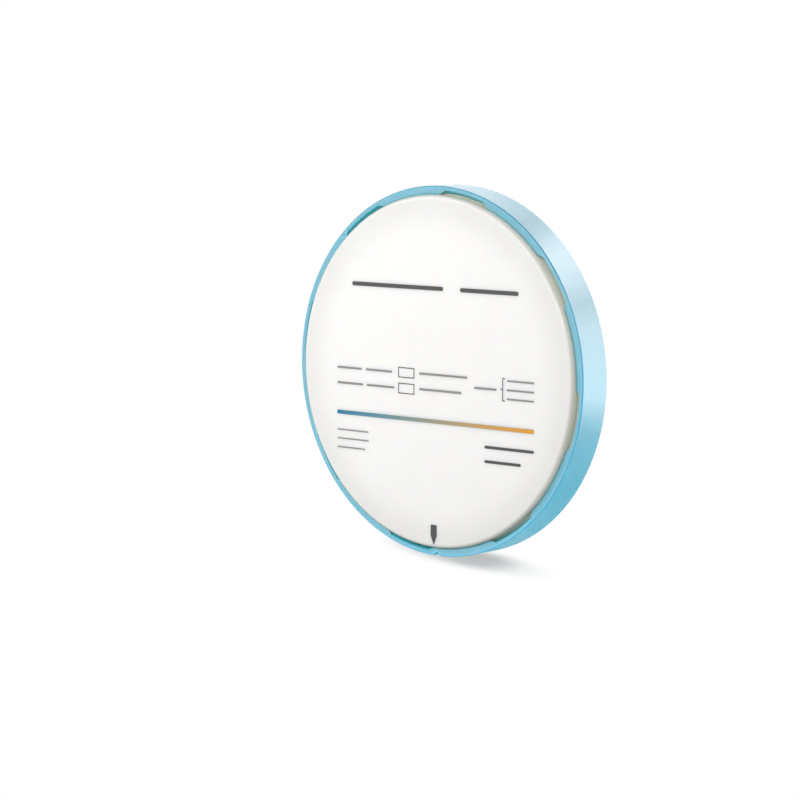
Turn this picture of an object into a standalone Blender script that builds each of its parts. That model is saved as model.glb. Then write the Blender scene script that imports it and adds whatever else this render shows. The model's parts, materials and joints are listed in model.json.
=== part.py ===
# Dental milling disc: a zirconia blank bonded into a moulded carrier ring.
# Metres, +Z out of the marked face, +Y towards its 12 o'clock, and the origin
# under the middle of the blank's back face, on which the disc lies.

import math

import bmesh
import bpy

# Carrier ring
RING_RADIUS = 0.04925       # outside, for a 98.5 mm disc holder
RING_HEIGHT = 0.010         # the collar that the holder clamps
RING_WALL = 0.0021          # from the outside to the bore
RING_EDGE = 0.0003          # chamfer on the two outer edges

# Zirconia blank
BLANK_HEIGHT = 0.018        # back face to marked face
FRONT_STAND = 0.0015        # marked face above the ring's front face
FRONT_ROUND = 0.001         # rounding of the marked face's rim
BACK_BEVEL_WIDTH = 0.0036   # bevel of the back rim, across
BACK_BEVEL_HEIGHT = 0.0041  # and up the side
BOND_GAP = 0.0003           # clearance all round between the blank and the bore

# Tapered pockets in the ring's front inner edge, where the bond is let in
POCKET_COUNT = 8
POCKET_LENGTH = 0.01325     # between the outer corners, on the front face
POCKET_OUTER_WALL = 0.00105 # ring left outside a pocket, on the front face
POCKET_DEPTH = 0.0016       # where the taper has run out into the bore
POCKET_END_ANGLE = 50.0     # degrees between an end wall and the pocket's middle line
POCKET_TURN = -11.5         # degrees from +X to the middle of the first pocket

# Index groove down the outside of the ring, in line with the marker
INDEX_RADIUS = 0.0012       # of the groove's round bottom
INDEX_DEPTH = 0.00095       # into the ring's outside
INDEX_ANGLE = -90.0         # degrees from +X

# Fineness of the round faces
TURN_STEPS = 144
ROUND_STEPS = 5
POCKET_STEPS = 8
INDEX_STEPS = 24
CUTTER_MARGIN = 0.001       # how far a cutter runs past what it cuts
SMOOTH_LIMIT = 30.0         # degrees: sharper edges stay crisp

# Sizes that follow from the ones above
BORE_RADIUS = RING_RADIUS - RING_WALL
BLANK_RADIUS = BORE_RADIUS - BOND_GAP
RING_FRONT = BLANK_HEIGHT - FRONT_STAND
RING_BACK = RING_FRONT - RING_HEIGHT
POCKET_REACH = RING_WALL - POCKET_OUTER_WALL
POCKET_RADIUS = BORE_RADIUS + POCKET_REACH


def clear_scene():
    for thing in list(bpy.data.objects):
        bpy.data.objects.remove(thing, do_unlink=True)


def plain_material(name, color, roughness, specular):
    material = bpy.data.materials.new(name)
    material.use_nodes = True
    shader = material.node_tree.nodes["Principled BSDF"]
    shader.inputs["Base Color"].default_value = (*color, 1.0)
    shader.inputs["Roughness"].default_value = roughness
    shader.inputs["Specular IOR Level"].default_value = specular
    shader.inputs["Metallic"].default_value = 0.0
    return material


def add_object(name, bm, material):
    mesh = bpy.data.meshes.new(name)
    bmesh.ops.recalc_face_normals(bm, faces=bm.faces)
    bm.to_mesh(mesh)
    bm.free()
    mesh.shade_smooth()
    mesh.set_sharp_from_angle(angle=math.radians(SMOOTH_LIMIT))
    thing = bpy.data.objects.new(name, mesh)
    bpy.context.scene.collection.objects.link(thing)
    if material:
        mesh.materials.append(material)
    return thing


def turned_mesh(profile, closed):
    # Spins (radius, height) points round Z. An open profile gets flat end caps.
    bm = bmesh.new()
    verts = [bm.verts.new((radius, 0.0, height)) for radius, height in profile]
    edges = [bm.edges.new(pair) for pair in zip(verts, verts[1:])]
    if closed:
        edges.append(bm.edges.new((verts[-1], verts[0])))
    bmesh.ops.spin(
        bm,
        geom=verts + edges,
        axis=(0.0, 0.0, 1.0),
        cent=(0.0, 0.0, 0.0),
        angle=math.tau,
        steps=TURN_STEPS,
        use_merge=True,
    )
    if not closed:
        bmesh.ops.holes_fill(bm, edges=bm.edges)
    return bm


def as_cutter(thing):
    thing.hide_render = True
    thing.display_type = "WIRE"
    return thing


def cut_with(target, cutter, name):
    modifier = target.modifiers.new(name, "BOOLEAN")
    modifier.operation = "DIFFERENCE"
    modifier.solver = "EXACT"
    modifier.object = cutter


def zirconia_blank(material):
    profile = [
        (BLANK_RADIUS - BACK_BEVEL_WIDTH, 0.0),
        (BLANK_RADIUS, BACK_BEVEL_HEIGHT),
    ]
    round_centre = (BLANK_RADIUS - FRONT_ROUND, BLANK_HEIGHT - FRONT_ROUND)
    for step in range(ROUND_STEPS + 1):
        turn = math.pi / 2 * step / ROUND_STEPS
        profile.append((
            round_centre[0] + FRONT_ROUND * math.cos(turn),
            round_centre[1] + FRONT_ROUND * math.sin(turn),
        ))
    return add_object("zirconia_blank", turned_mesh(profile, closed=False), material)


def pocket_radius_at(height):
    # The pocket's outer wall leans in, from the front face down to the bore
    below_front = RING_FRONT - height
    return POCKET_RADIUS - POCKET_REACH * below_front / POCKET_DEPTH


def pocket_end_at(radius):
    # Angle from the pocket's middle to its slanted end wall, on a circle of this radius
    slant = math.radians(POCKET_END_ANGLE)
    corner = math.asin(POCKET_LENGTH / 2 / POCKET_RADIUS)
    wall_distance = POCKET_RADIUS * math.sin(corner + slant)
    return math.asin(wall_distance / radius) - slant


def pocket_outline(height, middle):
    wall_radius = pocket_radius_at(height)
    inner_radius = BORE_RADIUS - POCKET_REACH - CUTTER_MARGIN
    inner_end = pocket_end_at(inner_radius)
    wall_end = pocket_end_at(wall_radius)
    spots = [(inner_radius, -inner_end)]
    for step in range(POCKET_STEPS + 1):
        spots.append((wall_radius, wall_end * (2 * step / POCKET_STEPS - 1)))
    spots.append((inner_radius, inner_end))
    return [
        (radius * math.cos(middle + turn), radius * math.sin(middle + turn), height)
        for radius, turn in spots
    ]


def pocket_cutter():
    top = RING_FRONT + CUTTER_MARGIN
    bottom = RING_FRONT - POCKET_DEPTH - CUTTER_MARGIN / 2
    bm = bmesh.new()
    for number in range(POCKET_COUNT):
        middle = math.radians(POCKET_TURN) + math.tau * number / POCKET_COUNT
        lower = [bm.verts.new(spot) for spot in pocket_outline(bottom, middle)]
        upper = [bm.verts.new(spot) for spot in pocket_outline(top, middle)]
        bm.faces.new(lower)
        bm.faces.new(upper)
        bmesh.ops.bridge_loops(bm, edges=outline_edges(bm, lower) + outline_edges(bm, upper))
    return as_cutter(add_object("pocket_cutter", bm, None))


def outline_edges(bm, verts):
    return [bm.edges.get(pair) for pair in zip(verts, verts[1:] + verts[:1])]


def index_cutter():
    bm = bmesh.new()
    bmesh.ops.create_cone(
        bm,
        cap_ends=True,
        segments=INDEX_STEPS,
        radius1=INDEX_RADIUS,
        radius2=INDEX_RADIUS,
        depth=RING_HEIGHT + 2 * CUTTER_MARGIN,
    )
    cutter = as_cutter(add_object("index_cutter", bm, None))
    distance = RING_RADIUS + INDEX_RADIUS - INDEX_DEPTH
    turn = math.radians(INDEX_ANGLE)
    middle_height = (RING_FRONT + RING_BACK) / 2
    cutter.location = (distance * math.cos(turn), distance * math.sin(turn), middle_height)
    return cutter


def carrier_ring(material):
    profile = [
        (BORE_RADIUS, RING_BACK),
        (RING_RADIUS - RING_EDGE, RING_BACK),
        (RING_RADIUS, RING_BACK + RING_EDGE),
        (RING_RADIUS, RING_FRONT - RING_EDGE),
        (RING_RADIUS - RING_EDGE, RING_FRONT),
        (BORE_RADIUS, RING_FRONT),
    ]
    ring = add_object("carrier_ring", turned_mesh(profile, closed=True), material)
    cut_with(ring, pocket_cutter(), "bond pockets")
    cut_with(ring, index_cutter(), "index groove")
    return ring


clear_scene()
zirconia_blank(plain_material("white zirconia", (0.90, 0.89, 0.86), 0.6, 0.3))
carrier_ring(plain_material("light blue plastic", (0.19, 0.52, 0.70), 0.35, 0.5))
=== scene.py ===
import json
import math

import bmesh
import bpy
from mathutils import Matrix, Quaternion, Vector

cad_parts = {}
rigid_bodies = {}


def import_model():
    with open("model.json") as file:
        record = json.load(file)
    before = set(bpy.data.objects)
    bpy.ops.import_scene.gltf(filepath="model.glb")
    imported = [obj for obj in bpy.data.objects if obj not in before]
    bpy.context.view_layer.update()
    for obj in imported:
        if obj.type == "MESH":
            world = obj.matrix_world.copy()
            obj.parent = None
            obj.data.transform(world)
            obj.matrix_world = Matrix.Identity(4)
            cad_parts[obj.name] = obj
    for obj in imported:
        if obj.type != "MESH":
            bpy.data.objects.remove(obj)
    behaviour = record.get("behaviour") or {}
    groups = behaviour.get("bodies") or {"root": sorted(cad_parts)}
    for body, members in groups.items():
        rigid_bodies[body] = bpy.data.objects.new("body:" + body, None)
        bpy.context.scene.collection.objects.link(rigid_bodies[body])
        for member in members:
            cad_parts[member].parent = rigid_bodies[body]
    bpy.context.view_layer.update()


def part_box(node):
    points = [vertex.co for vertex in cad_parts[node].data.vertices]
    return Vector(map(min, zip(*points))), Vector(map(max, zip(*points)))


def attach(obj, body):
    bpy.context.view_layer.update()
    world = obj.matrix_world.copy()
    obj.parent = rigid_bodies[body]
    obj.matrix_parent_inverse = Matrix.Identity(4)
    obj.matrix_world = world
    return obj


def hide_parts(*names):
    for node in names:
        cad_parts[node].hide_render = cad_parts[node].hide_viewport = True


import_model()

mm = 0.001
white = (1.0, 1.0, 1.0)
body = "root"

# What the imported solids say
ringLow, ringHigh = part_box("carrier_ring")
blankLow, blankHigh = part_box("zirconia_blank")
ringRadius = ringHigh.x
ringFront = ringHigh.z
ringBack = ringLow.z
blankRadius = blankHigh.x
blankFront = blankHigh.z


# Node trees

class Signal:
    # One output socket. Maths on it adds Math nodes to its tree.
    def __init__(self, graph, node, output=0):
        self.graph = graph
        self.node = node
        self.socket = node.outputs[output]

    def out(self, output):
        return Signal(self.graph, self.node, output)

    def maths(self, operation, *values):
        return self.graph.add("ShaderNodeMath", {"operation": operation}, dict(enumerate(values)))

    def sine(self):
        return self.maths("SINE", self)

    def __add__(self, other):
        return self.maths("ADD", self, other)

    def __sub__(self, other):
        return self.maths("SUBTRACT", self, other)

    def __rsub__(self, other):
        return self.maths("SUBTRACT", other, self)

    def __mul__(self, other):
        return self.maths("MULTIPLY", self, other)

    def __truediv__(self, other):
        return self.maths("DIVIDE", self, other)


class Graph:
    # Fills one node tree: a node's settings first, then its sockets
    def __init__(self, tree):
        self.tree = tree
        self.tree.nodes.clear()

    def add(self, kind, settings=None, sockets=None, output=0):
        node = self.tree.nodes.new(kind)
        for name, value in (settings or {}).items():
            if name == "stops":
                self.setStops(node.color_ramp, value)
            else:
                setattr(node, name, value)
        for name, value in (sockets or {}).items():
            for item in value if isinstance(value, list) else [value]:
                if isinstance(item, Signal):
                    self.tree.links.new(item.socket, node.inputs[name])
                else:
                    node.inputs[name].default_value = item
        return Signal(self, node, output) if node.outputs else node

    def setStops(self, colourRamp, stops):
        while len(colourRamp.elements) < len(stops):
            colourRamp.elements.new(1.0)
        for element, (place, colour) in zip(colourRamp.elements, stops):
            element.position = place
            element.color = (*colour, 1.0)


def linear(red, green, blue):
    # Screen colour, 0 to 255, as the light values that shaders use
    return tuple(
        (c / 255 / 12.92) if c <= 10 else ((c / 255 + 0.055) / 1.055) ** 2.4
        for c in (red, green, blue)
    )


# Meshes

def newObject(name, mesh):
    thing = bpy.data.objects.new(name, mesh)
    bpy.context.scene.collection.objects.link(thing)
    return thing


def meshObject(name, bm):
    bmesh.ops.recalc_face_normals(bm, faces=bm.faces)
    mesh = bpy.data.meshes.new(name)
    bm.to_mesh(mesh)
    bm.free()
    return newObject(name, mesh)


def settle(thing, name):
    # Turns what the modifiers make into a plain mesh under the piece's own name
    graph = bpy.context.evaluated_depsgraph_get()
    shown = thing.evaluated_get(graph)
    mesh = bpy.data.meshes.new_from_object(shown, preserve_all_data_layers=True, depsgraph=graph)
    bpy.data.objects.remove(thing, do_unlink=True)
    mesh.name = name
    return newObject(name, mesh)


def evenShading(thing, sharpAngle):
    # Flat faces keep flat shading right up to the fine rounding beside them
    thing.data.shade_smooth()
    thing.data.set_sharp_from_angle(angle=math.radians(sharpAngle))
    modifier = thing.modifiers.new("even shading", "WEIGHTED_NORMAL")
    modifier.keep_sharp = True
    modifier.weight = 90    # the larger of two faces leads


def finishPiece(piece, material):
    piece.data.materials.clear()
    piece.data.materials.append(material)
    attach(piece, body)
    return piece


def arc(centre, radius, start, end, steps):
    # Points on an arc, angles in radians
    points = []
    for step in range(steps + 1):
        turn = start + (end - start) * step / steps
        points.append((centre[0] + radius * math.cos(turn), centre[1] + radius * math.sin(turn)))
    return points


def turned(name, profile, steps):
    # Spins (radius, height) points round Z and caps the two open ends with flat faces
    bm = bmesh.new()
    verts = [bm.verts.new((radius, 0.0, height)) for radius, height in profile]
    edges = [bm.edges.new(pair) for pair in zip(verts, verts[1:])]
    bmesh.ops.spin(
        bm,
        geom=verts + edges,
        axis=(0.0, 0.0, 1.0),
        cent=(0.0, 0.0, 0.0),
        angle=math.tau,
        steps=steps,
        use_merge=True,
    )
    bmesh.ops.holes_fill(bm, edges=bm.edges)
    return meshObject(name, bm)


def loft(name, sections):
    # A closed solid through outlines that have the same number of points
    bm = bmesh.new()
    rings = [[bm.verts.new(point) for point in section] for section in sections]
    bm.faces.new(rings[0])
    bm.faces.new(rings[-1])
    count = len(rings[0])
    for lower, upper in zip(rings, rings[1:]):
        for i in range(count):
            j = (i + 1) % count
            bm.faces.new((lower[i], lower[j], upper[j], upper[i]))
    return meshObject(name, bm)


# Materials

def surfaceGraph(name):
    material = bpy.data.materials.new(name)
    material.use_nodes = True
    graph = Graph(material.node_tree)
    place = graph.add("ShaderNodeTexCoord").out("Object")
    return material, graph, place


def noise(graph, place, size, detail=2.0):
    # Noise whose features are about this size, in metres
    sockets = {"Vector": place, "Scale": 1.0 / size, "Detail": detail, "Roughness": 0.5}
    return graph.add("ShaderNodeTexNoise", None, sockets)


def blend(graph, mask, first, second):
    # Mixes two colours, each either three numbers or a colour worked out before
    first, second = (c if isinstance(c, Signal) else (*c, 1.0) for c in (first, second))
    return graph.add("ShaderNodeMix", {"data_type": "RGBA"}, {0: mask, 6: first, 7: second}, 2)


def ramp(graph, value, start, end, first=0.0, last=1.0):
    # Goes smoothly from first to last while the value goes from start to end
    sockets = {"Value": value, "From Min": start, "From Max": end, "To Min": first, "To Max": last}
    return graph.add("ShaderNodeMapRange", {"interpolation_type": "SMOOTHSTEP"}, sockets)


def widened(value, contrast):
    # Spreads noise about its middle, 0.5
    return value * contrast - (contrast - 1.0) / 2


def varied(value, middle, spread):
    # Noise as a value that varies by this spread about its middle
    return (value - 0.5) * spread + middle


def distanceFrom(graph, place, axis=(0.0, 0.0, 0.0)):
    # How far from an upright axis
    flat = graph.add("ShaderNodeVectorMath", {"operation": "MULTIPLY"}, {0: place, 1: (1.0, 1.0, 0.0)})
    return graph.add("ShaderNodeVectorMath", {"operation": "DISTANCE"}, {0: flat, 1: axis}, "Value")


def heightOf(graph, place):
    return graph.add("ShaderNodeSeparateXYZ", None, {0: place}).out("Z")


def bump(graph, height, depth, strength):
    sockets = {"Height": height, "Distance": depth, "Strength": strength}
    return graph.add("ShaderNodeBump", None, sockets)


def closeSurface(graph, sockets):
    shader = graph.add("ShaderNodeBsdfPrincipled", None, sockets)
    graph.add("ShaderNodeOutputMaterial", None, {"Surface": shader})


# Each pair of depths, down from the ring's front, says where a tone or the polish starts, and is full
plastic = {
    # The front and the outside are one plastic, given different tones: painted light for how each is
    # lit
    "colour": (0.195, 0.480, 0.590),
    "paleColour": (0.225, 0.510, 0.620),
    "flowSize": 9 * mm,          # soft tone changes from the moulding
    "flowContrast": 2.2,
    "paintedEdgeLine": (0.04, 0.23, 0.35),  # painted shade: a darker line on the rounding of the outer front edge
    "paintedWallColour": (0.115, 0.515, 0.69),  # on the outside, a purer blue than the front's: painted light
    "wallFrom": (0.15 * mm, 0.30 * mm),
    # Painted shade: a darker, greener teal down in the pockets
    "pocketShadeColour": (0.04, 0.40, 0.47),
    "pocketFrom": (0.05 * mm, 0.35 * mm),
    "pocketInward": (0.5, 0.8),  # the same, as shares of the wall outside a pocket, inwards
    "grooveShadeColour": (0.04, 0.20, 0.25),  # painted shade, from the same depth as in the pockets
    "roughness": 0.38,
    "roughnessSpread": 0.08,
    "specular": 0.30,            # plain gloss under the coat
    "wallCoat": 1.0,             # the outside is polished by the mould
    "faceCoat": 0.03,            # the other faces are left satin
    "polishFrom": (0.16 * mm, 0.31 * mm),
    "coatIor": 5.6,              # strong, so that the outside mirrors the floor
    "coatRoughness": 0.22,
    "glow": 1.0,                 # share of light that passes below the surface
    "glowColour": (0.25, 0.85, 1.0),
    "glowDepth": 1.6 * mm,
    "grainSize": 0.25 * mm,      # eroded mould surface
    "grainDepth": 0.004 * mm,
    "grainStrength": 0.6,
}


def grooveMask(graph, place):
    # 1 in the index groove, 0 beyond its lips
    distance = grooveDistance()
    turn = math.radians(ring["grooveAngle"])
    away = distanceFrom(graph, place, (distance * math.cos(turn), distance * math.sin(turn), 0.0))
    return ramp(graph, away, ring["grooveRadius"] + ring["grooveLip"], ring["grooveRadius"])


def plasticFinish():
    material, graph, place = surfaceGraph("moulded blue plastic")
    flow = noise(graph, place, plastic["flowSize"])
    grain = noise(graph, place, plastic["grainSize"], detail=1.0)
    tones = widened(flow, plastic["flowContrast"])
    colour = blend(graph, tones, plastic["colour"], plastic["paleColour"])
    away = distanceFrom(graph, place)
    below = ringFront - heightOf(graph, place)
    # Painted shade in the pockets and the groove, from a little below the front
    paintedShadeDepth = ramp(graph, below, *plastic["pocketFrom"])
    inward = [ringRadius - ring["pocketOuterWall"] * share for share in plastic["pocketInward"]]
    colour = blend(graph, paintedShadeDepth * ramp(graph, away, *inward), colour, plastic["pocketShadeColour"])
    # On the outside: a painted dark line on the edge's rounding, then the wall's painted tone
    outside = ramp(graph, away, ringRadius - ring["outerRound"], ringRadius - ring["outerRound"] / 2)
    onWall = ramp(graph, below, *plastic["wallFrom"])
    wallTone = blend(graph, onWall, plastic["paintedEdgeLine"], plastic["paintedWallColour"])
    colour = blend(graph, outside, colour, wallTone)
    # Painted shade in the index groove, where the coat is left off too
    groove = paintedShadeDepth * grooveMask(graph, place)
    colour = blend(graph, groove, colour, plastic["grooveShadeColour"])
    polished = outside * ramp(graph, below, *plastic["polishFrom"]) * (1.0 - groove)
    closeSurface(graph, {
        "Base Color": colour,
        "Roughness": varied(flow, plastic["roughness"], plastic["roughnessSpread"]),
        "IOR": 1.5,
        "Specular IOR Level": plastic["specular"],
        "Coat Weight": ramp(graph, polished, 0.0, 1.0, plastic["faceCoat"], plastic["wallCoat"]),
        "Coat IOR": plastic["coatIor"],
        "Coat Roughness": plastic["coatRoughness"],
        "Subsurface Weight": plastic["glow"],
        "Subsurface Radius": plastic["glowColour"],
        "Subsurface Scale": plastic["glowDepth"],
        "Normal": bump(graph, grain, plastic["grainDepth"], plastic["grainStrength"]),
    })
    return material


zirconia = {
    "colour": (0.885, 0.872, 0.850),
    "paleColour": (0.905, 0.895, 0.876),
    "cloudSize": 14 * mm,
    "cloudContrast": 2.0,
    "paintedFaceFalloff": 0.89,           # painted shade: the face darkens towards its rim
    "paintedFalloffWidth": 12 * mm,
    # Painted shade: a grey rim rounding, darker than the face
    "rimShadeColour": (0.63, 0.615, 0.57),
    "rimWidth": 0.9 * mm,        # over which the face's tone turns into the rim's painted shade
    "sideColour": (0.98, 0.85, 0.71),
    "rimFoot": (-0.4 * mm, 1.1 * mm),  # up from the ring's front, between the side's tone and the rim's
    "roughness": 0.62,
    "roughnessSpread": 0.15,
    "burnish": 1.0,              # the upper part of the rim's rounding is smoother than the face
    # Shares of that rounding, in from the side and down from the face: where it starts, and is full
    "burnishInward": (1.0, 0.7),
    "burnishDown": (0.3, 0.15),
    "burnishRoughness": 0.22,
    "grainSize": 0.18 * mm,      # pressed powder
    "grainDepth": 0.005 * mm,
    "grainStrength": 0.5,
    "turningPitch": 0.22 * mm,   # fine lines left by turning the side
    "turningDepth": 0.003 * mm,
    "glow": 1.0,
    "glowColour": (1.0, 0.84, 0.64),
    "glowDepth": 2.0 * mm,
}


def zirconiaFinish():
    material, graph, place = surfaceGraph("pressed zirconia")
    cloud = noise(graph, place, zirconia["cloudSize"], detail=3.0)
    grain = noise(graph, place, zirconia["grainSize"])
    away = distanceFrom(graph, place)
    height = heightOf(graph, place)
    lines = (height * (math.tau / zirconia["turningPitch"])).sine()
    relief = grain + lines * (zirconia["turningDepth"] / zirconia["grainDepth"])
    tones = widened(cloud, zirconia["cloudContrast"])
    colour = blend(graph, tones, zirconia["colour"], zirconia["paleColour"])
    # Painted shade: the face darkens over its outer part towards the rim
    falloffFrom = blankRadius - zirconia["paintedFalloffWidth"]
    shade = ramp(graph, away, falloffFrom, blankRadius, 1.0, zirconia["paintedFaceFalloff"])
    settings = {"data_type": "RGBA", "blend_type": "MULTIPLY"}
    colour = graph.add("ShaderNodeMix", settings, {0: 1.0, 6: colour, 7: shade}, 2)
    # Painted shade on the rim's rounding, over the side's tone
    footing = [ringFront + rise for rise in zirconia["rimFoot"]]
    edge = blend(graph, ramp(graph, height, *footing), zirconia["sideColour"], zirconia["rimShadeColour"])
    rim = ramp(graph, away, blankRadius - zirconia["rimWidth"], blankRadius)
    colour = blend(graph, rim, colour, edge)
    inward = [blankRadius - blank["frontRound"] * share for share in zirconia["burnishInward"]]
    down = [blankFront - blank["frontRound"] * share for share in zirconia["burnishDown"]]
    burnished = ramp(graph, away, *inward) * ramp(graph, height, *down)
    closeSurface(graph, {
        "Base Color": colour,
        "Roughness": varied(grain, zirconia["roughness"], zirconia["roughnessSpread"]),
        "IOR": 1.45,
        "Coat Weight": burnished * zirconia["burnish"],
        "Coat IOR": 1.6,
        "Coat Roughness": zirconia["burnishRoughness"],
        "Subsurface Weight": zirconia["glow"],
        "Subsurface Radius": zirconia["glowColour"],
        "Subsurface Scale": zirconia["glowDepth"],
        "Normal": bump(graph, relief, zirconia["grainDepth"], zirconia["grainStrength"]),
    })
    return material


# Carrier ring: a rounded band swept round, with pockets and an index groove cut out

ring = {
    "wall": 2.1 * mm,
    "outerRound": 0.3 * mm,      # rounding of the outer edges
    "boreRound": 0.25 * mm,      # and of the bore's
    "turnSteps": 360,
    "roundSteps": 4,
    "arcSteps": 10,              # on half of a pocket's outer wall, and of the groove's bottom
    "cornerSteps": 5,            # on a pocket's corner, and on the groove's lip
    "pocketCount": 8,
    "firstPocket": -11.5,        # degrees from +X
    "pocketLength": 13.25 * mm,
    "pocketOuterWall": 1.05 * mm,
    "pocketDepth": 1.6 * mm,
    "pocketEndAngle": 50.0,      # degrees between an end wall and the pocket's middle line
    "pocketCorner": 0.45 * mm,   # rounding of its two outer corners
    "pocketLip": 0.12 * mm,      # rounding of the pocket's edge on the front face
    "grooveRadius": 1.2 * mm,
    "grooveDepth": 0.95 * mm,
    "grooveAngle": -90.0,
    "grooveLip": 0.18 * mm,      # rounding of the groove's edges
    "cutterSpare": 1.0 * mm,     # how far a cutter runs past what it cuts
    "sharpAngle": 32.0,          # degrees: sharper edges stay crisp
}
boreRadius = ringRadius - ring["wall"]


def lipFlare(distance, lip):
    # How far a cutter spreads at this distance below the face, to round the edge that it leaves
    inside = max(0.0, lip - distance)
    return lip - math.sqrt(max(0.0, lip * lip - inside * inside))


def pocketEndDistance(slant):
    # From the disc's axis to the line in which a pocket's end wall meets the front face
    fullRadius = ringRadius - ring["pocketOuterWall"]
    corner = math.asin(ring["pocketLength"] / 2 / fullRadius)
    return fullRadius * math.sin(corner + slant)


def pocketSection(height):
    reach = ring["wall"] - ring["pocketOuterWall"]
    below = max(0.0, ringFront - height)
    flare = lipFlare(below, ring["pocketLip"])
    wallRadius = ringRadius - ring["pocketOuterWall"] - reach * below / ring["pocketDepth"] + flare
    slant = math.radians(ring["pocketEndAngle"])
    # The end wall is a line at this distance from the axis, square to the direction of endTurn
    endDistance = pocketEndDistance(slant) + flare
    endTurn = math.pi / 2 - slant
    curve = ring["pocketCorner"]
    alongEnd = math.sqrt((wallRadius - curve) ** 2 - (endDistance - curve) ** 2)
    centreTurn = endTurn - math.atan2(alongEnd, endDistance - curve)
    centre = (
        (wallRadius - curve) * math.cos(centreTurn),
        (wallRadius - curve) * math.sin(centreTurn),
    )
    innerRadius = boreRadius - reach - ring["cutterSpare"]
    innerTurn = endTurn - math.acos(endDistance / innerRadius)
    half = arc((0, 0), wallRadius, 0.0, centreTurn, ring["arcSteps"])[1:-1]
    half += arc(centre, curve, centreTurn, endTurn, ring["cornerSteps"])
    half.append((innerRadius * math.cos(innerTurn), innerRadius * math.sin(innerTurn)))
    outline = [(x, -y) for x, y in reversed(half)] + [(wallRadius, 0.0)] + half
    return [(x, y, height) for x, y in outline]


def pocketCutter():
    # Sections from just below the pocket's foot up to its lip, where they lie close
    depths = [ring["pocketDepth"] * share for share in (1.1, 0.5)]
    depths += [ring["pocketLip"] * share for share in (1.0, 0.7, 0.45, 0.25, 0.1, 0.0)]
    heights = [ringFront - depth for depth in depths] + [ringFront + ring["cutterSpare"]]
    return loft("pocket cutter", [pocketSection(height) for height in heights])


def grooveDistance():
    # From the disc's axis to the axis of the groove's round bottom
    return ringRadius + ring["grooveRadius"] - ring["grooveDepth"]


def grooveSection(height):
    fromFace = max(0.0, min(ringFront - height, height - ringBack))
    lip = ring["grooveLip"]
    radius = ring["grooveRadius"] + lipFlare(fromFace, lip)
    distance = grooveDistance()
    # The lip's centre touches the outside of the ring and the groove's circle
    lipDistance = ringRadius - lip
    cosine = (distance**2 + lipDistance**2 - (radius + lip) ** 2) / (2 * distance * lipDistance)
    lipTurn = math.acos(cosine)
    centre = (lipDistance * math.cos(lipTurn), lipDistance * math.sin(lipTurn))
    towardsLip = math.atan2(centre[1], centre[0] - distance)
    half = arc((distance, 0.0), radius, math.pi, towardsLip, ring["arcSteps"])[1:]
    half += arc(centre, lip, towardsLip - math.pi, lipTurn, ring["cornerSteps"])[1:]
    far = ringRadius + ring["cutterSpare"]
    half.append((far * math.cos(lipTurn), far * math.sin(lipTurn)))
    deepest = (distance - radius, 0.0)
    outline = [(x, -y) for x, y in reversed(half)] + [deepest] + half
    return [(x, y, height) for x, y in outline]


def grooveCutter():
    # Sections that lie close at the ring's two faces, where the lips are
    depths = [ring["grooveLip"] * share for share in (0.0, 0.1, 0.3, 0.6, 1.0)]
    heights = [ringBack - ring["cutterSpare"]] + [ringBack + depth for depth in depths]
    heights += [ringFront - depth for depth in reversed(depths)] + [ringFront + ring["cutterSpare"]]
    return loft("groove cutter", [grooveSection(height) for height in heights])


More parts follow.
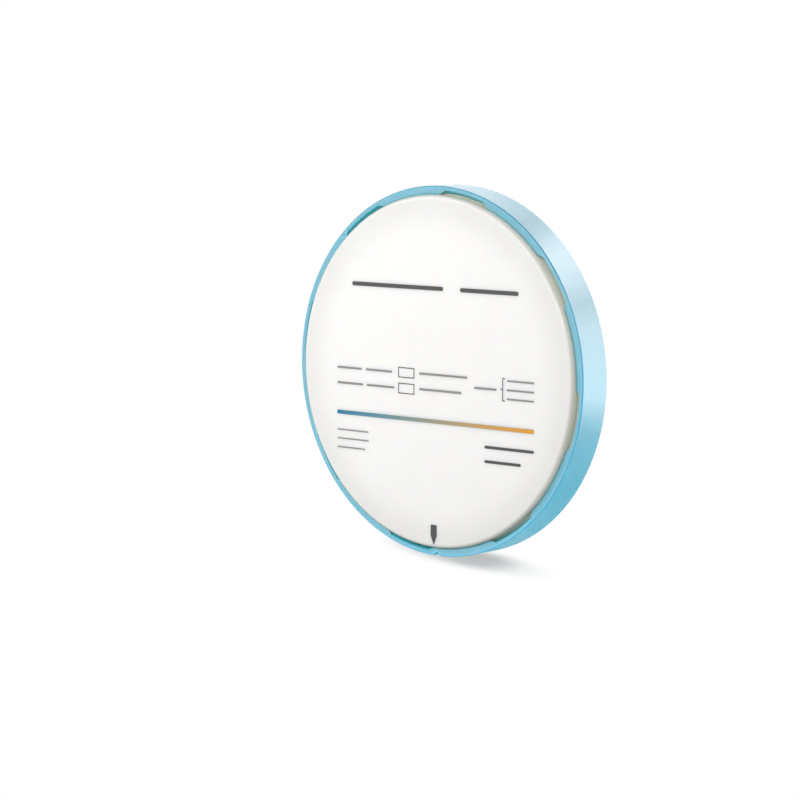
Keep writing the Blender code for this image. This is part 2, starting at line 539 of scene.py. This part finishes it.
def ringTree():
    # Sweeps the band, stands the pocket cutter round it and cuts the pockets and the groove
    tree = bpy.data.node_groups.new("pocketed ring", "GeometryNodeTree")
    sizes = {
        "Outer Radius": ("NodeSocketFloat", ringRadius),
        "Wall": ("NodeSocketFloat", ring["wall"]),
        "Back": ("NodeSocketFloat", ringBack),
        "Height": ("NodeSocketFloat", ringFront - ringBack),
        "Outer Round": ("NodeSocketFloat", ring["outerRound"]),
        "Bore Round": ("NodeSocketFloat", ring["boreRound"]),
        "Turn Steps": ("NodeSocketInt", ring["turnSteps"]),
        "Round Steps": ("NodeSocketInt", ring["roundSteps"]),
        "Pockets": ("NodeSocketInt", ring["pocketCount"]),
        "First Pocket": ("NodeSocketFloat", math.radians(ring["firstPocket"])),
        "Groove": ("NodeSocketFloat", math.radians(ring["grooveAngle"])),
        "Pocket Cutter": ("NodeSocketObject", None),
        "Groove Cutter": ("NodeSocketObject", None),
        "Material": ("NodeSocketMaterial", None),
    }
    for name, (kind, value) in sizes.items():
        tree.interface.new_socket(name, in_out="INPUT", socket_type=kind)
    tree.interface.new_socket("Geometry", in_out="OUTPUT", socket_type="NodeSocketGeometry")
    graph = Graph(tree)
    given = graph.add("NodeGroupInput")

    wall = given.out("Wall")
    height = given.out("Height")
    outline = graph.add(
        "GeometryNodeCurvePrimitiveQuadrilateral",
        {"mode": "RECTANGLE"},
        {"Width": wall, "Height": height},
    )
    spot = graph.add("ShaderNodeSeparateXYZ", None, {0: graph.add("GeometryNodeInputPosition")})
    isOuter = spot.maths("GREATER_THAN", spot.out("X"), 0.0)
    rounding = isOuter * given.out("Outer Round") + (1.0 - isOuter) * given.out("Bore Round")
    rounded = graph.add(
        "GeometryNodeFilletCurve",
        {"mode": "POLY"},
        {"Curve": outline, "Count": given.out("Round Steps"), "Radius": rounding},
    )
    path = graph.add(
        "GeometryNodeCurvePrimitiveCircle",
        {"mode": "RADIUS"},
        {"Resolution": given.out("Turn Steps"), "Radius": given.out("Outer Radius") - wall * 0.5},
    )
    band = graph.add("GeometryNodeCurveToMesh", None, {"Curve": path, "Profile Curve": rounded})
    lift = graph.add("ShaderNodeCombineXYZ", None, {"Z": given.out("Back") + height * 0.5})
    band = graph.add("GeometryNodeTransform", None, {"Geometry": band, "Translation": lift})

    def cutters(name, count, first):
        shape = graph.add("GeometryNodeObjectInfo", None, {"Object": given.out(name)}, "Geometry")
        points = graph.add("GeometryNodePoints", None, {"Count": count})
        turn = graph.add("GeometryNodeInputIndex") * math.tau / count + first
        rotation = graph.add("ShaderNodeCombineXYZ", None, {"Z": turn})
        stood = graph.add(
            "GeometryNodeInstanceOnPoints",
            None,
            {"Points": points, "Instance": shape, "Rotation": rotation},
        )
        return graph.add("GeometryNodeRealizeInstances", None, {"Geometry": stood})

    pockets = cutters("Pocket Cutter", given.out("Pockets"), given.out("First Pocket"))
    groove = cutters("Groove Cutter", 1, given.out("Groove"))
    cut = graph.add(
        "GeometryNodeMeshBoolean",
        {"operation": "DIFFERENCE", "solver": "EXACT"},
        {"Mesh 1": band, "Mesh 2": [pockets, groove]},
    )
    real = graph.add("GeometryNodeRealizeInstances", None, {"Geometry": cut})
    done = graph.add(
        "GeometryNodeSetMaterial", None, {"Geometry": real, "Material": given.out("Material")}
    )
    graph.add("NodeGroupOutput", None, {"Geometry": done})
    return tree, {name: value for name, (kind, value) in sizes.items()}


def buildRing():
    material = plasticFinish()
    tree, values = ringTree()
    values["Pocket Cutter"] = pocketCutter()
    values["Groove Cutter"] = grooveCutter()
    values["Material"] = material
    base = newObject("ring base", bpy.data.meshes.new("ring base"))
    modifier = base.modifiers.new("pocketed ring", "NODES")
    modifier.node_group = tree
    for item in tree.interface.items_tree:
        if item.in_out == "INPUT":
            modifier[item.identifier] = values[item.name]
    plain = settle(base, "ring plain")
    for name in ("Pocket Cutter", "Groove Cutter"):
        bpy.data.objects.remove(values[name], do_unlink=True)
    evenShading(plain, ring["sharpAngle"])
    piece = finishPiece(settle(plain, "moulded_ring"), material)
    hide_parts("carrier_ring")
    print("ring:", len(piece.data.polygons), "faces")


# Zirconia blank: turned, with a rounded front rim and a bevelled back rim

blank = {
    "frontRound": 1.0 * mm,
    "backBevelWidth": 3.6 * mm,
    "backBevelHeight": 4.1 * mm,
    "fineRound": 0.25 * mm,      # on the two edges of the bevel
    "inkThickness": 0.03 * mm,   # the marks stand this far above the face
    "turnSteps": 288,
    "roundSteps": 10,            # on the front rim's rounding
    "fineSteps": 4,              # on the bevel's edges
    "sharpAngle": 35.0,
}


def roundedCorner(before, corner, after, radius, steps):
    # Replaces a profile's corner by an arc that touches both of its sides
    a = (Vector(before) - Vector(corner)).normalized()
    b = (Vector(after) - Vector(corner)).normalized()
    half = a.angle(b) / 2
    centre = Vector(corner) + (a + b).normalized() * (radius / math.sin(half))
    first = Vector(corner) + a * (radius / math.tan(half)) - centre
    last = Vector(corner) + b * (radius / math.tan(half)) - centre
    start = math.atan2(first.y, first.x)
    sweep = (math.atan2(last.y, last.x) - start + math.pi) % math.tau - math.pi
    return arc(centre, radius, start, start + sweep, steps)


def buildBlank():
    face = blankFront - blank["inkThickness"]
    centre = (0.0, blankLow.z)
    foot = (blankRadius - blank["backBevelWidth"], blankLow.z)
    shoulder = (blankRadius, blankLow.z + blank["backBevelHeight"])
    rim = (blankRadius, face)
    top = (0.0, face)
    profile = roundedCorner(centre, foot, shoulder, blank["fineRound"], blank["fineSteps"])
    profile += roundedCorner(foot, shoulder, rim, blank["fineRound"], blank["fineSteps"])
    profile += roundedCorner(shoulder, rim, top, blank["frontRound"], blank["roundSteps"])
    plain = turned("blank plain", profile, blank["turnSteps"])
    evenShading(plain, blank["sharpAngle"])
    material = zirconiaFinish()
    piece = finishPiece(settle(plain, "pressed_blank"), material)
    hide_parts("zirconia_blank")
    print("blank:", len(piece.data.polygons), "faces")


# Bond film: cured adhesive between blank and ring. It fills the pockets' foot, and between the
# pockets a thin line of it comes up to the front, painted dark teal: painted shade of the gap.

film = {
    "colour": (0.75, 0.64, 0.51),
    "dullColour": (0.67, 0.57, 0.45),
    # Painted shade: the dark teal of the gap between blank and ring, on the thin line
    "gapShadeColour": (0.13, 0.40, 0.47),
    "belowFront": 0.10 * mm,     # the thin line's top, below the ring's front
    "abovePocket": 0.05 * mm,    # the fill's top, over the height where the pockets have run out
    "foot": 0.12 * mm,           # above the ring's back face
    "climb": 0.40 * mm,          # how far it is drawn up the blank's side in the pockets
    "middleClimb": 0.35,         # share of that climb halfway to the ring
    "dip": 0.04 * mm,            # the top sags between its two neighbours
    "blankSink": 0.01 * mm,      # how far it reaches into the blank
    "ringSink": 0.06 * mm,       # and into the ring
    "pocketSteps": 10,           # along the film in a pocket
    "bridgeSteps": 16,           # and between two pockets
    "stepTurn": 0.15,            # degrees that the rise beside a pocket takes
    "sharpAngle": 40.0,
    "patchSize": 2.5 * mm,
    "patchContrast": 2.0,
    "roughness": 0.4,
    "roughnessSpread": 0.2,
    "rippleSize": 0.6 * mm,
    "rippleDepth": 0.006 * mm,
    "rippleStrength": 0.4,
}


def filmFinish():
    material, graph, place = surfaceGraph("cured adhesive")
    patch = noise(graph, place, film["patchSize"])
    ripple = noise(graph, place, film["rippleSize"], detail=1.0)
    tones = widened(patch, film["patchContrast"])
    colour = blend(graph, tones, film["dullColour"], film["colour"])
    # The thin line's painted gap shade starts at half the pockets' depth and is full just below its top
    lineFrom = ringFront - ring["pocketDepth"] / 2
    line = ramp(graph, heightOf(graph, place), lineFrom, ringFront - film["belowFront"] * 2)
    closeSurface(graph, {
        "Base Color": blend(graph, line, colour, film["gapShadeColour"]),
        "Roughness": varied(patch, film["roughness"], film["roughnessSpread"]),
        "IOR": 1.5,
        "Normal": bump(graph, ripple, film["rippleDepth"], film["rippleStrength"]),
    })
    return material


def filmStations():
    # Angles round the disc, each with the film's height there and its climb up the blank
    low = ringFront - ring["pocketDepth"] + film["abovePocket"]
    high = ringFront - film["belowFront"]
    slant = math.radians(ring["pocketEndAngle"])
    half = math.asin(pocketEndDistance(slant) / boreRadius) - slant
    rise = math.radians(film["stepTurn"])
    pitch = math.tau / ring["pocketCount"]
    bridge = pitch - 2 * (half + rise)
    stations = []
    for number in range(ring["pocketCount"]):
        middle = math.radians(ring["firstPocket"]) + pitch * number
        for step in range(film["pocketSteps"] + 1):
            turn = middle + half * (2 * step / film["pocketSteps"] - 1)
            stations.append((turn, low, film["climb"]))
        for step in range(film["bridgeSteps"] + 1):
            turn = middle + half + rise + bridge * step / film["bridgeSteps"]
            stations.append((turn, high, 0.0))
    return stations


def buildFilm():
    inner = blankRadius - film["blankSink"]
    outer = boreRadius + film["ringSink"]
    foot = ringBack + film["foot"]
    bm = bmesh.new()
    sections = []
    for turn, top, climb in filmStations():
        section = [
            (inner, foot),
            (outer, foot),
            (outer, top),
            ((inner + outer) / 2, top + climb * film["middleClimb"] - film["dip"]),
            (inner, top + climb),
        ]
        sections.append([
            bm.verts.new((radius * math.cos(turn), radius * math.sin(turn), height))
            for radius, height in section
        ])
    for here, there in zip(sections, sections[1:] + sections[:1]):
        for i in range(len(here)):
            j = (i + 1) % len(here)
            bm.faces.new((here[i], here[j], there[j], there[i]))
    plain = meshObject("film plain", bm)
    evenShading(plain, film["sharpAngle"])
    piece = finishPiece(settle(plain, "bond_film"), filmFinish())
    print("film:", len(piece.data.polygons), "faces")


# Marks printed on the blank's face, in millimetres from its middle

marks = {
    "bar": (-34.43, 34.44, -13.54, -12.48),  # left, right, bottom, top
    "barStops": [                # share of the bar's length, and the screen colour there
        (0.00, (16, 122, 156)),
        (0.22, (92, 140, 152)),
        (0.50, (150, 150, 130)),
        (0.75, (194, 155, 94)),
        (1.00, (222, 154, 44)),
    ],
    "barSpeckle": 0.02,          # how far specks shift the bar's tones, as a share of its length
    "pointer": {
        "left": -0.66, "right": 1.42, "top": -40.75, "shoulder": -43.6, "tip": -45.9,
        "bluntHalf": 0.12, "bluntRise": 0.05,  # the tip is a little blunt
    },
    "ink": (74, 74, 72),
    "paleInk": (84, 84, 82),
    "fineInk": (132, 132, 129),
    "paleFineInk": (146, 146, 143),
    "sink": 0.01,                # how far the ink's foot reaches into the face
    "endSteps": 8,               # on a dash's round end
    "sharpAngle": 30.0,
    "speckSize": 0.35 * mm,
    "roughness": 0.5,
    "roughnessSpread": 0.2,
}

# Plain dashes in place of words: left, right, height on the face, thickness
dashes = {
    "title": [(-28.8, 3.6, 22.3, 1.1), (9.4, 29.2, 22.3, 1.1)],
    "rows": [
        (-34.4, -25.4, -0.75, 0.55), (-23.9, -14.4, -0.75, 0.55), (-4.8, 12.0, -0.55, 0.55),
        (-34.4, -24.9, -4.95, 0.55), (-23.6, -13.6, -4.95, 0.55), (-4.8, 10.0, -4.75, 0.55),
        (14.3, 22.0, -3.0, 0.55),
        (25.4, 34.5, -0.45, 0.45), (25.4, 34.5, -2.85, 0.45), (25.4, 34.5, -5.2, 0.45),
    ],
    "small": [
        (-34.4, -23.0, -17.8, 0.35), (-34.4, -22.9, -20.2, 0.35), (-34.4, -24.2, -22.6, 0.35),
    ],
    "lower": [(17.9, 34.5, -18.3, 0.75), (17.9, 30.2, -22.1, 0.75)],
}

# Two empty boxes, as left, right, bottom, top, and a bracket
lineWork = {
    "stroke": 0.24,
    "boxes": [(-12.2, -6.5, -2.1, 0.7), (-12.2, -6.5, -6.4, -3.55)],
    "bracket": {
        "left": 23.2, "spine": 23.9, "right": 24.8, "top": 0.2, "middle": -2.85, "bottom": -5.85,
    },
}


def inkPiece(name, outlines, material):
    # Flat outlines made into thin layers of ink on the face
    top = blankFront
    bottom = blankFront - blank["inkThickness"] - marks["sink"] * mm
    bm = bmesh.new()
    for outline in outlines:
        upper = [bm.verts.new((x * mm, y * mm, top)) for x, y in outline]
        lower = [bm.verts.new((x * mm, y * mm, bottom)) for x, y in outline]
        bm.faces.new(upper)
        bm.faces.new(lower)
        count = len(outline)
        for i in range(count):
            j = (i + 1) % count
            bm.faces.new((lower[i], lower[j], upper[j], upper[i]))
    piece = meshObject(name, bm)
    piece.data.set_sharp_from_angle(angle=math.radians(marks["sharpAngle"]))
    finishPiece(piece, material)
    print(name + ":", len(piece.data.polygons), "faces")


def closeInk(graph, speck, colour):
    closeSurface(graph, {
        "Base Color": colour,
        "Roughness": varied(speck, marks["roughness"], marks["roughnessSpread"]),
        "IOR": 1.45,
    })


def inkFinish(name, colour, paleColour):
    material, graph, place = surfaceGraph(name)
    speck = noise(graph, place, marks["speckSize"])
    closeInk(graph, speck, blend(graph, speck, linear(*colour), linear(*paleColour)))
    return material


def gradedFinish():
    material, graph, place = surfaceGraph("graded ink")
    left, right = marks["bar"][0] * mm, marks["bar"][1] * mm
    along = graph.add("ShaderNodeSeparateXYZ", None, {0: place})
    speck = noise(graph, place, marks["speckSize"])
    share = varied(speck, (along - left) * (1.0 / (right - left)), marks["barSpeckle"])
    stops = [(spot, linear(*colour)) for spot, colour in marks["barStops"]]
    closeInk(graph, speck, graph.add("ShaderNodeValToRGB", {"stops": stops}, {0: share}))
    return material


def dashOutline(left, right, y, thickness):
    radius = thickness / 2
    steps = marks["endSteps"]
    outline = arc((right - radius, y), radius, -math.pi / 2, math.pi / 2, steps)
    outline += arc((left + radius, y), radius, math.pi / 2, 3 * math.pi / 2, steps)
    return outline


def strip(left, right, bottom, top):
    return [(left, bottom), (right, bottom), (right, top), (left, top)]


def pointerOutline():
    point = marks["pointer"]
    middle = (point["left"] + point["right"]) / 2
    blunt = point["tip"] + point["bluntRise"]
    return [
        (point["left"], point["top"]),
        (point["left"], point["shoulder"]),
        (middle - point["bluntHalf"], blunt),
        (middle, point["tip"]),
        (middle + point["bluntHalf"], blunt),
        (point["right"], point["shoulder"]),
        (point["right"], point["top"]),
    ]


def lineOutlines():
    stroke = lineWork["stroke"]
    outlines = []
    for left, right, bottom, top in lineWork["boxes"]:
        outlines.append(strip(left, right, top - stroke, top))
        outlines.append(strip(left, right, bottom, bottom + stroke))
        outlines.append(strip(left, left + stroke, bottom + stroke, top - stroke))
        outlines.append(strip(right - stroke, right, bottom + stroke, top - stroke))
    hook = lineWork["bracket"]
    spineRight = hook["spine"] + stroke
    outlines.append(strip(hook["spine"], spineRight, hook["bottom"], hook["top"]))
    outlines.append(strip(spineRight, hook["right"], hook["top"] - stroke, hook["top"]))
    outlines.append(strip(spineRight, hook["right"], hook["bottom"], hook["bottom"] + stroke))
    outlines.append(strip(hook["left"], hook["spine"], hook["middle"], hook["middle"] + stroke))
    return outlines


def buildMarks():
    ink = inkFinish("dark grey ink", marks["ink"], marks["paleInk"])
    fineInk = inkFinish("grey ink", marks["fineInk"], marks["paleFineInk"])
    inkPiece("graded_bar", [strip(*marks["bar"])], gradedFinish())
    inkPiece("index_pointer", [pointerOutline()], ink)
    heavy = [dashOutline(*dash) for group in ("title", "lower") for dash in dashes[group]]
    light = [dashOutline(*dash) for group in ("rows", "small") for dash in dashes[group]]
    inkPiece("heavy_dashes", heavy, ink)
    inkPiece("light_dashes", light, fineInk)
    inkPiece("fine_frames", lineOutlines(), ink)


# Stage, lamps and camera

stage = {
    "floorSize": 3.0,
    "floorColour": (0.90, 0.90, 0.90),
    "shadowShare": 0.83,         # how much of the floor's real shading the camera sees in two patches
    "edgeMiddle": (-0.0040, -0.0521, 0.0),  # one lies along the disc's lower edge
    "edgeTurn": -2.4,            # degrees
    "edgeStretch": (9.5, 1.0, 1.0),  # and is longer along that edge than across it
    "edgeReach": (0.0012, 0.0039),  # from its middle: where that share starts to fade, and is gone
    "underMiddle": (-0.0103, -0.0018, 0.0),  # the other is round, and lies under the disc
    "underReach": (0.0460, 0.0492),
    "glossLevel": 1.46,          # the floor's brightness in reflections
    "glossFar": (0.068, 0.085),  # from the disc's axis: where that starts to fall, and has fallen
    "glossFarShare": 0.45,       # to this share
    # Shares of that brightness at degrees from +X, dark on the shadow's side
    "glossBands": [
        (-180, 0.40), (-118, 0.40), (-98, 0.19), (-70, 0.17), (-59, 0.12), (-45, 0.085),
        (-36, 0.12), (-25, 0.18), (-19, 0.24), (-13, 0.43), (-7, 0.69), (0, 0.73), (17, 0.76),
        (27, 0.63), (33, 0.79), (39, 0.93), (45, 1.0), (51, 0.90), (57, 0.68), (63, 0.58),
        (68, 0.66), (74, 0.70), (80, 0.76), (86, 0.82), (100, 0.82), (125, 0.40), (180, 0.40),
    ],
    "worldStrength": 0.40,       # the sky's light on things. The camera sees it white.
}

# From the disc to each lamp: degrees from +X towards +Y, degrees above the floor, metres.
# Sizes are in metres too, and power is in watts.
lamps = {
    "key": {"turn": 146, "rise": 46, "distance": 0.28, "size": 0.12, "power": 0.16},
    "top": {"turn": 135, "rise": 78, "distance": 0.20, "size": 0.12, "power": 0.070},
    "fill": {"turn": 190, "rise": 25, "distance": 0.90, "size": 0.45, "power": 0.8},
    "side": {"turn": 35, "rise": 50, "distance": 0.90, "size": 0.30, "power": 3.5},
    "low": {
        "turn": -60, "rise": 7, "distance": 0.90, "size": 0.40, "height": 0.12, "power": 8.9,
        "only": "moulded_ring", "mirrored": False,
    },
}

photoCamera = {
    "lens": 129.94,              # millimetres
    "aim": (-12.89 * mm, -8.40 * mm, 16.5 * mm),
    "distance": 774.01 * mm,
    "turn": 9.717,               # degrees from +X towards +Y
    "rise": 47.914,              # degrees above the floor
    "roll": -97.281,             # degrees, so that the marks stand upright in the picture
}


def shadedPatches(graph, place):
    # Where the camera sees the floor's own shading, and how much of it
    away = graph.add("ShaderNodeMapping", {"vector_type": "TEXTURE"}, {
        "Vector": place,
        "Location": stage["edgeMiddle"],
        "Rotation": (0.0, 0.0, math.radians(stage["edgeTurn"])),
        "Scale": stage["edgeStretch"],
    })
    fromEdge = graph.add("ShaderNodeVectorMath", {"operation": "LENGTH"}, {0: away}, "Value")
    fromUnder = distanceFrom(graph, place, stage["underMiddle"])
    edgeFade = ramp(graph, fromEdge, *stage["edgeReach"], 1.0, 0.0)
    underFade = ramp(graph, fromUnder, *stage["underReach"], 1.0, 0.0)
    return edgeFade.maths("MAXIMUM", edgeFade, underFade) * stage["shadowShare"]


def mirroredLight(graph, place):
    # The floor's brightness in reflections, by direction and distance from the disc
    spot = graph.add("ShaderNodeSeparateXYZ", None, {0: place})
    turn = spot.maths("ARCTAN2", spot.out("Y"), spot) * (1.0 / math.tau) + 0.5
    stops = [(degrees / 360 + 0.5, (level, level, level)) for degrees, level in stage["glossBands"]]
    bands = graph.add("ShaderNodeValToRGB", {"stops": stops}, {0: turn}) * stage["glossLevel"]
    near = ramp(graph, distanceFrom(graph, place), *stage["glossFar"], 1.0, stage["glossFarShare"])
    return bands * near


def floorFinish():
    # A diffuse floor that the camera sees white outside the patches, and reflections see in bands
    material, graph, place = surfaceGraph("studio floor")
    ray = graph.add("ShaderNodeLightPath")
    seen = ray.out("Is Camera Ray")
    mirrored = ray.out("Is Glossy Ray")
    tone = blend(graph, seen, stage["floorColour"], white)
    plainFloor = graph.add("ShaderNodeBsdfDiffuse", None, {"Color": tone})
    light = blend(graph, seen, mirroredLight(graph, place), white)
    brightFloor = graph.add("ShaderNodeEmission", None, {"Color": light, "Strength": 1.0})
    share = seen * (1.0 - shadedPatches(graph, place)) + mirrored
    mixed = graph.add("ShaderNodeMixShader", None, {0: share, 1: plainFloor, 2: brightFloor})
    graph.add("ShaderNodeOutputMaterial", None, {"Surface": mixed})
    return material


def buildFloor():
    bm = bmesh.new()
    bmesh.ops.create_grid(bm, x_segments=1, y_segments=1, size=stage["floorSize"] / 2)
    floor = meshObject("studio_floor", bm)
    floor.data.materials.append(floorFinish())
    print("floor:", stage["floorSize"], "m wide")


def buildSky():
    world = bpy.data.worlds.new("studio")
    world.use_nodes = True
    graph = Graph(world.node_tree)
    seen = graph.add("ShaderNodeLightPath").out("Is Camera Ray")
    strength = seen * (1.0 - stage["worldStrength"]) + stage["worldStrength"]
    sky = graph.add("ShaderNodeBackground", None, {"Color": (*white, 1.0), "Strength": strength})
    graph.add("ShaderNodeOutputWorld", None, {"Surface": sky})
    bpy.context.scene.world = world
    print("sky: strength", stage["worldStrength"])


def direction(turn, rise):
    # Unit vector towards a place at these degrees from +X and above the floor
    turn, rise = math.radians(turn), math.radians(rise)
    return Vector((math.cos(rise) * math.cos(turn), math.cos(rise) * math.sin(turn), math.sin(rise)))


def buildLamps():
    middle = Vector((0.0, 0.0, blankFront / 2))
    for name, lamp in lamps.items():
        data = bpy.data.lights.new(name, "AREA")
        data.shape = "ELLIPSE"
        data.size = lamp["size"]
        data.size_y = lamp.get("height", lamp["size"])
        data.energy = lamp["power"]
        thing = newObject(name, data)
        thing.visible_camera = False
        thing.visible_glossy = lamp.get("mirrored", True)
        if "only" in lamp:
            lit = bpy.data.collections.new(name + " lights")
            lit.objects.link(bpy.data.objects[lamp["only"]])
            thing.light_linking.receiver_collection = lit
        away = direction(lamp["turn"], lamp["rise"])
        thing.location = middle + away * lamp["distance"]
        thing.rotation_mode = "QUATERNION"
        thing.rotation_quaternion = (-away).to_track_quat("-Z", "Y")
        print("lamp:", name, lamp["power"], "W")


def buildCamera():
    back = direction(photoCamera["turn"], photoCamera["rise"])
    camera = newObject("camera", bpy.data.cameras.new("camera"))
    camera.data.lens = photoCamera["lens"]
    camera.location = Vector(photoCamera["aim"]) + back * photoCamera["distance"]
    camera.rotation_mode = "QUATERNION"
    roll = Quaternion((0.0, 0.0, 1.0), math.radians(photoCamera["roll"]))
    camera.rotation_quaternion = (-back).to_track_quat("-Z", "Y") @ roll
    bpy.context.scene.camera = camera
    print("camera:", photoCamera["lens"], "mm lens")


buildRing()
buildBlank()
buildFilm()
buildMarks()
buildFloor()
buildSky()
buildLamps()
buildCamera()
bpy.context.scene.view_settings.view_transform = "Standard"
